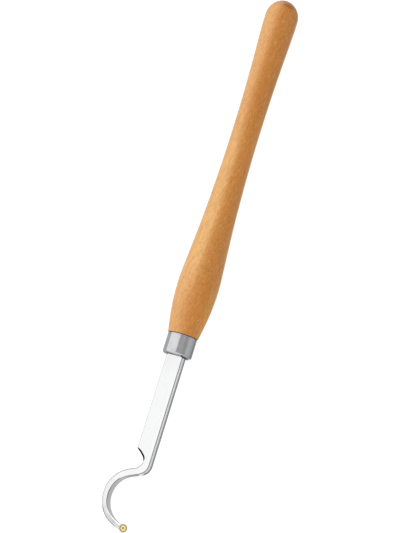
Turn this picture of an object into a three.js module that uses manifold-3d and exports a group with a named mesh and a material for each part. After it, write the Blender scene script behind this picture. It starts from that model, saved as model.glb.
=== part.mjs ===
// Hollowing tool for turning wood: turned handle, steel ferrule, square bar with a swan neck and an
// open hook, and a round cutter held at the hook's end by one countersunk screw.
// Units are millimetres. +X runs along the tool towards the cutter, +Z is up out of the cutter's top
// face, +Y is the side that the hook's mouth opens to. The origin is on the bar's flat underside,
// halfway along its straight length, where the bar lies on a tool rest.
import * as THREE from 'three';
import { mergeVertices } from 'three/addons/utils/BufferGeometryUtils.js';
import Module from 'manifold-3d';

const wasm = await Module();
wasm.setup();

// ---- driving dimensions ------------------------------------------------------------------------
const GAP = 0.3; // between neighbouring pieces

// Below, x is measured from the line where wood meets ferrule, and z from the tool's axis.
const ORIGIN_X = 66; // the origin's place along the axis
const BAR = 15.9; // side of the square bar
const BAR_EDGE_R = 1.1; // rounding of its long edges

const FERRULE_R = 14.3;
const FERRULE_LENGTH = 20;
const FERRULE_WALL = 1.6;
const FERRULE_FACE = 3; // thickness of its closed front
const FERRULE_EDGE_R = 2;

const TANG_R = 6;
const TANG_END_X = -80;
const TANG_CHAMFER = 1.2;

const TENON_R = FERRULE_R - FERRULE_WALL - GAP;
const BORE_R = TANG_R + GAP;
const HANDLE_END_X = -358.7;
const DOME_R = 16.85;
const DOME_LENGTH = 18.4;
// turned profile from the ferrule to the foot of the dome: x, radius
const PROFILE = [
  [-0.3, 14.55], [-0.7, 14.95], [-3.85, 15.5], [-7.7, 16.18], [-11.6, 16.87], [-15.4, 17.5],
  [-20.0, 18.12], [-25.0, 18.78], [-31.0, 19.38], [-37.0, 19.78], [-43.5, 20.1], [-50.0, 20.23],
  [-56.5, 20.06], [-63.5, 19.68], [-71.5, 19.14], [-80.0, 18.58], [-90.0, 17.9], [-101.0, 17.12],
  [-113.0, 16.35], [-126.0, 15.7], [-141.0, 15.1], [-157.0, 14.53], [-174.0, 14.1], [-191.0, 13.8],
  [-208.0, 13.69], [-224.5, 13.73], [-241.0, 13.88], [-256.0, 14.14], [-271.0, 14.54],
  [-286.0, 15.03], [-300.0, 15.58], [-313.0, 16.1], [-326.0, 16.66], [-333.0, 16.83],
];

// hook: both walls are drawn about one centre, beside the axis
const HOOK_C = [161.35, 1.7];
const HOOK_R_IN = 23.6;
const HOOK_R_OUT = 28.4;
const HOOK_TIP_DEG = -8; // direction, seen from the centre, where the hook's full width ends
const RIGHT_ELBOW_C = [125.7, -3.45]; // outside of the neck's bend
const RIGHT_ELBOW_R = BAR / 2 + 3.45;
// left side of the neck, from the bar's corner through the notch to the hook's outer wall
const NOTCH_CORNER_X = 113.3;
const NECK_LEFT = [
  [NOTCH_CORNER_X, -BAR / 2], [114.9, -5.05], [116.6, -2.5], [118.2, -0.8], [119.9, 0.5], [121.6, 1.4],
  [123.4, 1.85], [125.3, 1.6], [127.1, 0.85], [128.7, -0.4], [130.2, -2.05], [131.3, -4.1],
  [132.3, -6.45], [133.5, -9.3], [135.8, -13.2], [138.9, -17.1], [143.3, -21.0], [148.4, -24.0],
  [153.9, -25.97], [160.7, -26.69],
];
// height of the hook's top face, by direction seen from the hook's centre: degrees, z
const RAMP = [
  [-70, BAR / 2 + 0.4], [-66, BAR / 2 - 0.05], [-61, 7.35], [-56, 6.25], [-51, 4.8], [-46, 3.1],
  [-41, 1.25], [-36, -0.5], [-32, -1.65], [-28.5, -2.35], [-25, -2.7], [14, -2.7],
];

const CUTTER_C = [186.85, 0]; // axis of the cutter and its screw
const CUTTER_R = 4;
const CUTTER_THICKNESS = 2.4;
const CUTTER_RELIEF_DEG = 20;
const CUTTER_HOLE_R = 1.8;
const CUTTER_SINK_R = 2.95;
const SEAT_Z = -CUTTER_THICKNESS - GAP; // the cutter's top lies in the plane of the tool's axis
const PAD_R = 3.05; // round end of the hook below the cutter
const PAD_RELIEF_DEG = 12;

const SCREW_HEAD_R = 2.6;
const SCREW_R = 1.5;
const SCREW_LENGTH = 6;
const SCREW_HOLE_R = SCREW_R + GAP;
const SCREW_HOLE_DEPTH = 6.4; // below the cutter's top
const DRIVE_R = 1.25; // star recess, over its lobes
const DRIVE_DEPTH = 0.85;

const AROUND = 40; // sides of a turned surface

// ---- helpers -----------------------------------------------------------------------------------
const rad = (deg) => (deg * Math.PI) / 180;

function volume(geometry) {
  const p = geometry.attributes.position;
  const at = geometry.index ? geometry.index.array : [...Array(p.count).keys()];
  const [a, b, c] = [new THREE.Vector3(), new THREE.Vector3(), new THREE.Vector3()];
  let sum = 0;
  for (let i = 0; i < at.length; i += 3) {
    a.fromBufferAttribute(p, at[i]);
    b.fromBufferAttribute(p, at[i + 1]);
    c.fromBufferAttribute(p, at[i + 2]);
    sum += a.dot(b.cross(c));
  }
  return sum / 6;
}

// one closed mesh on shared vertices, faces pointing out
function welded(geometry) {
  const g = geometry.clone();
  for (const name of Object.keys(g.attributes)) if (name !== 'position') g.deleteAttribute(name);
  const m = mergeVertices(g, 1e-4);
  const keep = [];
  const at = m.index.array;
  for (let i = 0; i < at.length; i += 3) {
    const [a, b, c] = [at[i], at[i + 1], at[i + 2]];
    if (a !== b && b !== c && c !== a) keep.push(a, b, c);
  }
  m.setIndex(keep);
  if (volume(m) < 0) for (let i = 0; i < keep.length; i += 3) [keep[i], keep[i + 1]] = [keep[i + 1], keep[i]];
  m.setIndex(keep);
  return m;
}

function solid(geometry) {
  const g = welded(geometry);
  return new wasm.Manifold(
    new wasm.Mesh({
      numProp: 3,
      vertProperties: new Float32Array(g.attributes.position.array),
      triVerts: new Uint32Array(g.index.array),
    }),
  );
}

function geometryOf(manifold) {
  const mesh = manifold.getMesh();
  const g = new THREE.BufferGeometry();
  g.setAttribute('position', new THREE.BufferAttribute(new Float32Array(mesh.vertProperties), 3));
  g.setIndex([...mesh.triVerts]);
  g.computeVertexNormals();
  return g;
}

// body turned about the X axis, from [x, r] points that start and end on the axis
function turnedX(points, around = AROUND) {
  const g = new THREE.LatheGeometry(points.map(([x, r]) => new THREE.Vector2(Math.max(r, 0), x)), around);
  return g.rotateZ(-Math.PI / 2);
}

// body turned about a vertical axis, from [r, z] points
function turnedZ(points, [cx, cy], around = AROUND) {
  const g = new THREE.LatheGeometry(points.map(([r, z]) => new THREE.Vector2(Math.max(r, 0), z)), around);
  return g.rotateX(Math.PI / 2).translate(cx, cy, 0);
}

function block(x0, x1, y0, y1, z0, z1) {
  const g = new THREE.BoxGeometry(x1 - x0, y1 - y0, z1 - z0);
  return g.translate((x0 + x1) / 2, (y0 + y1) / 2, (z0 + z1) / 2);
}

// closed skin over a row of four-cornered sections
function skin(sections) {
  const position = sections.flat(2);
  const index = [];
  const n = sections[0].length;
  for (let i = 0; i + 1 < sections.length; i++) {
    for (let j = 0; j < n; j++) {
      const [a, b] = [i * n + j, i * n + ((j + 1) % n)];
      index.push(a, b, b + n, a, b + n, a + n);
    }
  }
  const last = (sections.length - 1) * n;
  for (let j = 1; j + 1 < n; j++) index.push(0, j + 1, j, last, last + j, last + j + 1);
  const g = new THREE.BufferGeometry();
  g.setAttribute('position', new THREE.Float32BufferAttribute(position, 3));
  g.setIndex(index);
  return g;
}

const around = ([cx, cy], r, deg) => [cx + r * Math.cos(rad(deg)), cy + r * Math.sin(rad(deg))];

function arc(centre, r, from, to, steps) {
  return Array.from({ length: steps + 1 }, (_, i) => around(centre, r, from + ((to - from) * i) / steps));
}

// ---- handle ------------------------------------------------------------------------------------
const domeFoot = HANDLE_END_X + DOME_LENGTH;
const dome = [];
for (const a of [0, 14, 27, 39, 50, 60, 69, 77, 84, 90]) {
  dome.push([domeFoot - DOME_LENGTH * Math.sin(rad(a)), a === 90 ? 0 : DOME_R * Math.cos(rad(a))]);
}
const tenonEnd = FERRULE_LENGTH - FERRULE_FACE - GAP;
const handle = turnedX([
  [TANG_END_X - 0.6, 0],
  [TANG_END_X - 0.6, BORE_R],
  [tenonEnd, BORE_R],
  [tenonEnd, TENON_R - 0.6],
  [tenonEnd - 0.6, TENON_R],
  [-GAP, TENON_R],
  ...PROFILE,
  ...dome,
]);

// ---- ferrule -----------------------------------------------------------------------------------
const ferruleInner = FERRULE_R - FERRULE_WALL;
const edge = [];
for (const a of [0, 30, 60, 90]) {
  edge.push([
    FERRULE_LENGTH - FERRULE_EDGE_R + FERRULE_EDGE_R * Math.cos(rad(a)),
    FERRULE_R - FERRULE_EDGE_R + FERRULE_EDGE_R * Math.sin(rad(a)),
  ]);
}
const ferruleCup = solid(
  turnedX([
    [FERRULE_LENGTH, 0],
    ...edge,
    [0.3, FERRULE_R],
    [0, FERRULE_R - 0.3],
    [0, ferruleInner],
    [FERRULE_LENGTH - FERRULE_FACE, ferruleInner],
    [FERRULE_LENGTH - FERRULE_FACE, 0],
  ]),
);
const h = BAR / 2;
const ferrule = ferruleCup.subtract(solid(block(10, 30, -h, h, -h, h)));

// ---- bar, neck and hook ------------------------------------------------------------------------
// right side: straight wall, outside of the elbow, a straight tangent, inside of the hook
const [ex, ey] = RIGHT_ELBOW_C;
const apart = Math.hypot(HOOK_C[0] - ex, HOOK_C[1] - ey);
const bearing = (Math.atan2(HOOK_C[1] - ey, HOOK_C[0] - ex) * 180) / Math.PI;
const lean = (Math.acos((RIGHT_ELBOW_R + HOOK_R_IN) / apart) * 180) / Math.PI;
const leave = bearing + lean; // direction of the elbow's last point
const meet = leave - 180; // direction of the hook's first point
const rightSide = [
  ...arc(RIGHT_ELBOW_C, RIGHT_ELBOW_R, 90, leave, 12),
  ...arc(HOOK_C, HOOK_R_IN, meet, HOOK_TIP_DEG, 26),
];
// left side: notch and neck as one smooth line, then the outside of the hook
const neckLine = new THREE.SplineCurve(NECK_LEFT.map(([x, y]) => new THREE.Vector2(x, y)));
const leftSide = [
  ...neckLine.getPoints(38).map((p) => [p.x, p.y]),
  ...arc(HOOK_C, HOOK_R_OUT, -88.5, HOOK_TIP_DEG, 15),
];
const startX = 8;
const outline = new THREE.Shape(
  [[startX, -h], ...leftSide, ...rightSide.reverse(), [startX, h]].map(([x, y]) => new THREE.Vector2(x, y)),
);
const profile = new THREE.ExtrudeGeometry(outline, {
  depth: BAR - 2 * BAR_EDGE_R,
  bevelEnabled: true,
  bevelThickness: BAR_EDGE_R,
  bevelSize: BAR_EDGE_R,
  bevelOffset: -BAR_EDGE_R,
  bevelSegments: 2,
  curveSegments: 1,
}).translate(0, 0, -h + BAR_EDGE_R);

const barStart = FERRULE_LENGTH + GAP;
const spigot = h - GAP;
const spigotStart = FERRULE_LENGTH - FERRULE_FACE;
const tang = turnedX([
  [TANG_END_X, 0],
  [TANG_END_X, TANG_R - TANG_CHAMFER],
  [TANG_END_X + TANG_CHAMFER, TANG_R],
  [spigotStart + 1, TANG_R],
  [spigotStart + 1, 0],
]);
// the round end below the cutter leans back under it
const padDrop = h + SEAT_Z - 0.4;
const pad = turnedZ(
  [
    [0, -h],
    [PAD_R - (padDrop + 0.4) * Math.tan(rad(PAD_RELIEF_DEG)) - 0.4, -h],
    [PAD_R - padDrop * Math.tan(rad(PAD_RELIEF_DEG)), -h + 0.4],
    [PAD_R, SEAT_Z],
    [0, SEAT_Z],
  ],
  CUTTER_C,
  32,
);
const rampCut = skin(
  RAMP.map(([deg, z]) =>
    [
      [HOOK_R_IN - 4, z],
      [HOOK_R_OUT + 4, z],
      [HOOK_R_OUT + 4, 14],
      [HOOK_R_IN - 4, 14],
    ].map(([r, height]) => [...around(HOOK_C, r, deg), height]),
  ),
);
const screwHole = turnedZ(
  [
    [0, -SCREW_HOLE_DEPTH],
    [SCREW_HOLE_R, -SCREW_HOLE_DEPTH],
    [SCREW_HOLE_R, SEAT_Z + 1],
    [0, SEAT_Z + 1],
  ],
  CUTTER_C,
  24,
);
const toolBar = solid(profile)
  .intersect(solid(block(barStart, 260, -60, 60, -20, 20)))
  .subtract(solid(rampCut))
  .add(solid(pad))
  .add(solid(block(spigotStart, barStart + 1, -spigot, spigot, -spigot, spigot)))
  .add(solid(tang))
  .subtract(solid(screwHole));

// ---- cutter and screw --------------------------------------------------------------------------
const cutterBaseR = CUTTER_R - CUTTER_THICKNESS * Math.tan(rad(CUTTER_RELIEF_DEG));
const sinkDepth = CUTTER_SINK_R - CUTTER_HOLE_R;
const cutter = turnedZ(
  [
    [CUTTER_HOLE_R, -CUTTER_THICKNESS],
    [cutterBaseR, -CUTTER_THICKNESS],
    [CUTTER_R, 0],
    [CUTTER_SINK_R, 0],
    [CUTTER_HOLE_R, -sinkDepth],
    [CUTTER_HOLE_R, -CUTTER_THICKNESS],
  ],
  CUTTER_C,
  48,
);

const star = new THREE.Shape(
  Array.from({ length: 36 }, (_, i) => {
    const a = (i / 36) * 2 * Math.PI;
    const r = DRIVE_R * (0.86 + 0.14 * Math.cos(6 * a));
    return new THREE.Vector2(r * Math.cos(a), r * Math.sin(a));
  }),
);
const driveCut = new THREE.ExtrudeGeometry(star, { depth: DRIVE_DEPTH + 1, bevelEnabled: false }).translate(
  CUTTER_C[0],
  CUTTER_C[1],
  -DRIVE_DEPTH,
);
const screwBody = turnedZ(
  [
    [0, -SCREW_LENGTH],
    [SCREW_R - 0.35, -SCREW_LENGTH],
    [SCREW_R, -SCREW_LENGTH + 0.35],
    [SCREW_R, SCREW_R - SCREW_HEAD_R],
    [SCREW_HEAD_R, 0],
    [0, 0],
  ],
  CUTTER_C,
  32,
);
const screw = solid(screwBody).subtract(solid(driveCut));

// ---- the assembly ------------------------------------------------------------------------------
const beech = new THREE.MeshStandardMaterial({ color: 0xd2a066, roughness: 0.5, metalness: 0 });
const ferruleSteel = new THREE.MeshStandardMaterial({ color: 0xb4b4b6, roughness: 0.24, metalness: 1 });
const barSteel = new THREE.MeshStandardMaterial({ color: 0xd8d9db, roughness: 0.2, metalness: 1 });
const carbide = new THREE.MeshStandardMaterial({ color: 0x8d8672, roughness: 0.35, metalness: 0.9 });
const gold = new THREE.MeshStandardMaterial({ color: 0xe3b64b, roughness: 0.25, metalness: 1 });

function piece(name, geometry, material) {
  const mesh = new THREE.Mesh(geometry, material);
  mesh.name = name;
  return mesh;
}

const group = new THREE.Group();
group.position.set(-ORIGIN_X, 0, h);
group.add(
  piece('handle', geometryOf(solid(handle)), beech),
  piece('ferrule', geometryOf(ferrule), ferruleSteel),
  piece('tool_bar', geometryOf(toolBar), barSteel),
  piece('cutter_insert', geometryOf(solid(cutter)), carbide),
  piece('insert_screw', geometryOf(screw), gold),
);

export default group;
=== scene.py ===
import math

import bmesh
import bpy
import numpy as np
from mathutils import Matrix, Vector


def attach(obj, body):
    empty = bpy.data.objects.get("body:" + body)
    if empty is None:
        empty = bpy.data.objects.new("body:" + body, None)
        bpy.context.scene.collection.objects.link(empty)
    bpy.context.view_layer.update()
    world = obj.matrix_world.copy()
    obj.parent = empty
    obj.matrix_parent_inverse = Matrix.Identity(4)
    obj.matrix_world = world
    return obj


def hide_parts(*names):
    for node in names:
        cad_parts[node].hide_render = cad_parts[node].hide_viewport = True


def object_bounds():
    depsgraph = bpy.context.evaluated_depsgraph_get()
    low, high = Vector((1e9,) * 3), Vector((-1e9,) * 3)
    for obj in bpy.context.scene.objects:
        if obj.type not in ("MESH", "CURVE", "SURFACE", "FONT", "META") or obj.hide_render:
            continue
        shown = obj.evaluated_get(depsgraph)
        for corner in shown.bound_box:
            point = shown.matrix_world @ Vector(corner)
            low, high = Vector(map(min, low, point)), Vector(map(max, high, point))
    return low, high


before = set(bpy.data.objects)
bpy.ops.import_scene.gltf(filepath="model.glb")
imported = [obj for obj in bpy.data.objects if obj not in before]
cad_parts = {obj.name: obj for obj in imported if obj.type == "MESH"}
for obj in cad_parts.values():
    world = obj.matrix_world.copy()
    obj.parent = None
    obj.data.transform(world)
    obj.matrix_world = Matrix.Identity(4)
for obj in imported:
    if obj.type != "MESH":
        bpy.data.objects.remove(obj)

# Looks of the hollowing tool. Shapes below are drawn in millimetres in the tool's own axis frame: x from
# the line where wood meets ferrule, z from the tool's axis. row() turns them into the frame in metres.

cad_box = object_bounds()

ORIGIN_X = 66.0
BAR = 15.9
H = BAR / 2


def row(p):
    p = np.asarray(p, float)
    return (p + np.array([-ORIGIN_X, 0.0, H])) * 0.001


# ---------------------------------------------------------------------------------------------------
# small numeric helpers


def monotone(xs, ys, at):
    """Monotone cubic through the points xs, ys, read at the given places."""
    xs, ys, at = (np.asarray(v, float) for v in (xs, ys, at))
    step = np.diff(xs)
    slope = np.diff(ys) / step
    m = np.empty_like(ys)
    m[0], m[-1] = slope[0], slope[-1]
    for i in range(1, len(xs) - 1):
        if slope[i - 1] * slope[i] <= 0:
            m[i] = 0.0
        else:
            w1, w2 = 2 * step[i] + step[i - 1], step[i] + 2 * step[i - 1]
            m[i] = (w1 + w2) / (w1 / slope[i - 1] + w2 / slope[i])
    k = np.clip(np.searchsorted(xs, at, side="right") - 1, 0, len(xs) - 2)
    h = step[k]
    u = np.clip((at - xs[k]) / h, 0, 1)
    return (
        (2 * u**3 - 3 * u**2 + 1) * ys[k]
        + (u**3 - 2 * u**2 + u) * h * m[k]
        + (3 * u**2 - 2 * u**3) * ys[k + 1]
        + (u**3 - u**2) * h * m[k + 1]
    )


def smoothstep(a, b, x):
    u = min(max((x - a) / (b - a), 0.0), 1.0)
    return u * u * (3 - 2 * u)


def blur(values, sigma, spacing):
    """Gaussian smoothing of a row of values or points; the ends keep their place and direction."""
    v = np.asarray(values, float)
    half = int(math.ceil(3 * sigma / spacing))
    k = np.exp(-0.5 * (np.arange(-half, half + 1) * spacing / sigma) ** 2)
    k /= k.sum()
    v2 = v.reshape(len(v), -1)
    head = 2 * v2[0] - v2[half:0:-1]
    tail = 2 * v2[-1] - v2[-2 : -half - 2 : -1]
    padded = np.vstack([head, v2, tail])
    out = np.stack([np.convolve(padded[:, c], k, mode="valid") for c in range(v2.shape[1])], 1)
    return out.reshape(v.shape)


def arclength(p):
    return np.concatenate([[0], np.cumsum(np.linalg.norm(np.diff(p, axis=0), axis=1))])


def resample(p, spacing):
    s = arclength(p)
    n = max(2, int(round(s[-1] / spacing)) + 1)
    at = np.linspace(0, s[-1], n)
    return np.stack([np.interp(at, s, p[:, c]) for c in range(p.shape[1])], 1)


def catmull(points, per):
    p = np.asarray(points, float)
    p = np.vstack([2 * p[0] - p[1], p, 2 * p[-1] - p[-2]])
    out = []
    for i in range(1, len(p) - 2):
        for u in np.arange(per) / per:
            out.append(
                0.5
                * (
                    2 * p[i]
                    + (p[i + 1] - p[i - 1]) * u
                    + (2 * p[i - 1] - 5 * p[i] + 4 * p[i + 1] - p[i + 2]) * u**2
                    + (3 * p[i] - p[i - 1] - 3 * p[i + 1] + p[i + 2]) * u**3
                )
            )
    out.append(p[-2])
    return np.array(out)


def polar(centre, r, deg):
    a = math.radians(deg)
    return np.array([centre[0] + r * math.cos(a), centre[1] + r * math.sin(a)])


# ---------------------------------------------------------------------------------------------------
# mesh helpers


def make_object(name, verts, faces, materials, index=None, sharp=30.0, merge=None, dissolve=0.0):
    """A closed mesh from points in millimetres, smooth shaded with sharp edges above an angle."""
    mesh = bpy.data.meshes.new(name)
    mesh.from_pydata([tuple(v) for v in row(verts)], [], faces)
    if index is not None:
        mesh.polygons.foreach_set("material_index", np.asarray(index, np.int32))
    bm = bmesh.new()
    bm.from_mesh(mesh)
    if merge:
        bmesh.ops.remove_doubles(bm, verts=bm.verts, dist=merge * 0.001)
        bmesh.ops.dissolve_degenerate(bm, edges=bm.edges, dist=1e-7)
    bmesh.ops.recalc_face_normals(bm, faces=bm.faces)
    if bm.calc_volume(signed=True) < 0:
        bmesh.ops.reverse_faces(bm, faces=bm.faces)
    for f in bm.faces:
        f.smooth = True
    bm.to_mesh(mesh)
    bm.free()
    mesh.set_sharp_from_angle(angle=math.radians(sharp))
    for m in materials:
        mesh.materials.append(m)
    obj = bpy.data.objects.new(name, mesh)
    bpy.context.scene.collection.objects.link(obj)
    return obj


def grid_faces(rings, n, closed_ends=(False, False)):
    faces = []
    for i in range(rings - 1):
        a, b = i * n, (i + 1) * n
        for j in range(n):
            k = (j + 1) % n
            faces.append((a + j, a + k, b + k, b + j))
    return faces


def turned(points, around, axis, centre=(0.0, 0.0)):
    """Rings and faces of a body turned from (along, radius) points; radius 0 makes a pole."""
    verts, rings, faces = [], [], []
    angle = np.arange(around) * 2 * math.pi / around
    for along, r in points:
        if r <= 1e-9:
            rings.append([len(verts)])
            verts.append((along, 0.0, 0.0) if axis == "x" else (centre[0], centre[1], along))
            continue
        rings.append(list(range(len(verts), len(verts) + around)))
        for a in angle:
            if axis == "x":
                verts.append((along, r * math.sin(a), r * math.cos(a)))
            else:
                verts.append((centre[0] + r * math.cos(a), centre[1] + r * math.sin(a), along))
    for p, q in zip(rings[:-1], rings[1:]):
        for j in range(around):
            k = (j + 1) % around
            if len(p) == 1 and len(q) == 1:
                continue
            if len(p) == 1:
                faces.append((p[0], q[k], q[j]))
            elif len(q) == 1:
                faces.append((p[j], p[k], q[0]))
            else:
                faces.append((p[j], p[k], q[k], q[j]))
    return np.array(verts), faces


def corner(p, before, after, r, steps=4):
    """Rounds a profile corner p between its two neighbours by a quarter-like arc of about radius r."""
    p, before, after = (np.asarray(v, float) for v in (p, before, after))
    u = (before - p) / np.linalg.norm(before - p)
    v = (after - p) / np.linalg.norm(after - p)
    a, b = p + u * r, p + v * r
    return [tuple((1 - t) ** 2 * a + 2 * t * (1 - t) * p + t**2 * b) for t in np.linspace(0, 1, steps + 1)]


# ---------------------------------------------------------------------------------------------------
# node helpers


class Graph:
    """Short names for building a node tree."""

    def __init__(self, tree):
        self.tree = tree
        tree.nodes.clear()

    def node(self, kind, **settings):
        n = self.tree.nodes.new(kind)
        for k, v in settings.items():
            setattr(n, k, v)
        return n

    def link(self, a, b):
        self.tree.links.new(a, b)

    def put(self, socket, value):
        if hasattr(value, "is_output") or isinstance(value, bpy.types.NodeSocket):
            self.link(value, socket)
        else:
            socket.default_value = value

    def math(self, op, a, b=0.0, c=0.0, clamp=False):
        n = self.node("ShaderNodeMath", operation=op, use_clamp=clamp)
        self.put(n.inputs[0], a)
        self.put(n.inputs[1], b)
        if op in ("MULTIPLY_ADD", "SMOOTH_MIN", "SMOOTH_MAX"):
            self.put(n.inputs[2], c)
        return n.outputs[0]

    def step(self, x, a, b, to=(0.0, 1.0), kind="SMOOTHSTEP"):
        n = self.node("ShaderNodeMapRange", interpolation_type=kind, clamp=True)
        self.put(n.inputs["Value"], x)
        n.inputs["From Min"].default_value = a
        n.inputs["From Max"].default_value = b
        n.inputs["To Min"].default_value = to[0]
        n.inputs["To Max"].default_value = to[1]
        return n.outputs["Result"]

    def scaled(self, vector, scale, rotation=(0.0, 0.0, 0.0), location=(0.0, 0.0, 0.0)):
        n = self.node("ShaderNodeMapping")
        self.put(n.inputs["Vector"], vector)
        n.inputs["Scale"].default_value = scale
        n.inputs["Rotation"].default_value = rotation
        n.inputs["Location"].default_value = location
        return n.outputs["Vector"]

    def noise(self, vector, scale=1.0, detail=2.0, rough=0.5, distortion=0.0):
        n = self.node("ShaderNodeTexNoise")
        self.put(n.inputs["Vector"], vector)
        n.inputs["Scale"].default_value = scale
        n.inputs["Detail"].default_value = detail
        n.inputs["Roughness"].default_value = rough
        n.inputs["Distortion"].default_value = distortion
        return n.outputs[0]

    def voronoi(self, vector, scale=1.0, random=1.0):
        n = self.node("ShaderNodeTexVoronoi", feature="F1")
        self.put(n.inputs["Vector"], vector)
        n.inputs["Scale"].default_value = scale
        n.inputs["Randomness"].default_value = random
        return n.outputs["Distance"], n.outputs["Color"]

    def mix(self, factor, a, b, blend="MIX"):
        n = self.node("ShaderNodeMix", data_type="RGBA", blend_type=blend)
        self.put(n.inputs[0], factor)
        self.put(n.inputs[6], a)
        self.put(n.inputs[7], b)
        return n.outputs[2]

    def bump(self, height, distance, strength=1.0, normal=None):
        n = self.node("ShaderNodeBump")
        n.inputs["Strength"].default_value = strength
        n.inputs["Distance"].default_value = distance
        self.put(n.inputs["Height"], height)
        if normal is not None:
            self.put(n.inputs["Normal"], normal)
        return n.outputs["Normal"]

    def split(self, vector):
        n = self.node("ShaderNodeSeparateXYZ")
        self.put(n.inputs[0], vector)
        return n.outputs[0], n.outputs[1], n.outputs[2]

    def join(self, x, y, z):
        n = self.node("ShaderNodeCombineXYZ")
        for i, v in enumerate((x, y, z)):
            self.put(n.inputs[i], v)
        return n.outputs[0]


def material(name):
    m = bpy.data.materials.new(name)
    m.use_nodes = True
    g = Graph(m.node_tree)
    out = g.node("ShaderNodeOutputMaterial")
    shader = g.node("ShaderNodeBsdfPrincipled")
    g.link(shader.outputs["BSDF"], out.inputs["Surface"])
    where = g.node("ShaderNodeTexCoord")
    mm = g.scaled(where.outputs["Object"], (1000.0, 1000.0, 1000.0))
    return m, g, shader, mm, where


def rgba(r, g, b):
    return (r, g, b, 1.0)


# ---------------------------------------------------------------------------------------------------
# materials


def ramp_of(g, value, low, high, stops):
    """A colour ramp over low..high of a value, from (place, (r, g, b)) stops."""
    n = g.node("ShaderNodeValToRGB")
    g.link(g.math("MULTIPLY_ADD", value, 1 / (high - low), -low / (high - low)), n.inputs[0])
    n.color_ramp.interpolation = "LINEAR"
    elements = n.color_ramp.elements
    while len(elements) > 1:
        elements.remove(elements[-1])
    for i, (at, colour) in enumerate(stops):
        place = (at - low) / (high - low)
        e = elements[0] if i == 0 else elements.new(place)
        e.position = place
        e.color = (*colour, 1.0)
    return n.outputs[0]


# colour of the blank round the handle, in degrees from its top, positive to the right: partly painted light and shade,
# lighter on the lit left side and darker, redder on the shaded right side, over the wood's own tone
BLANK_WITH_PAINTED_LIGHT = [
    (-180, (0.560, 0.260, 0.060)), (-120, (0.600, 0.320, 0.095)), (-51, (0.665, 0.352, 0.104)),
    (-32, (0.610, 0.318, 0.100)), (-18, (0.590, 0.298, 0.091)), (-6, (0.548, 0.246, 0.050)),
    (4, (0.524, 0.214, 0.034)), (15, (0.512, 0.200, 0.030)), (26, (0.506, 0.192, 0.018)),
    (38, (0.502, 0.185, 0.015)), (50, (0.512, 0.192, 0.017)), (62, (0.580, 0.244, 0.037)),
    (81, (0.735, 0.322, 0.024)), (120, (0.660, 0.288, 0.036)), (180, (0.560, 0.260, 0.060)),
]


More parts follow.
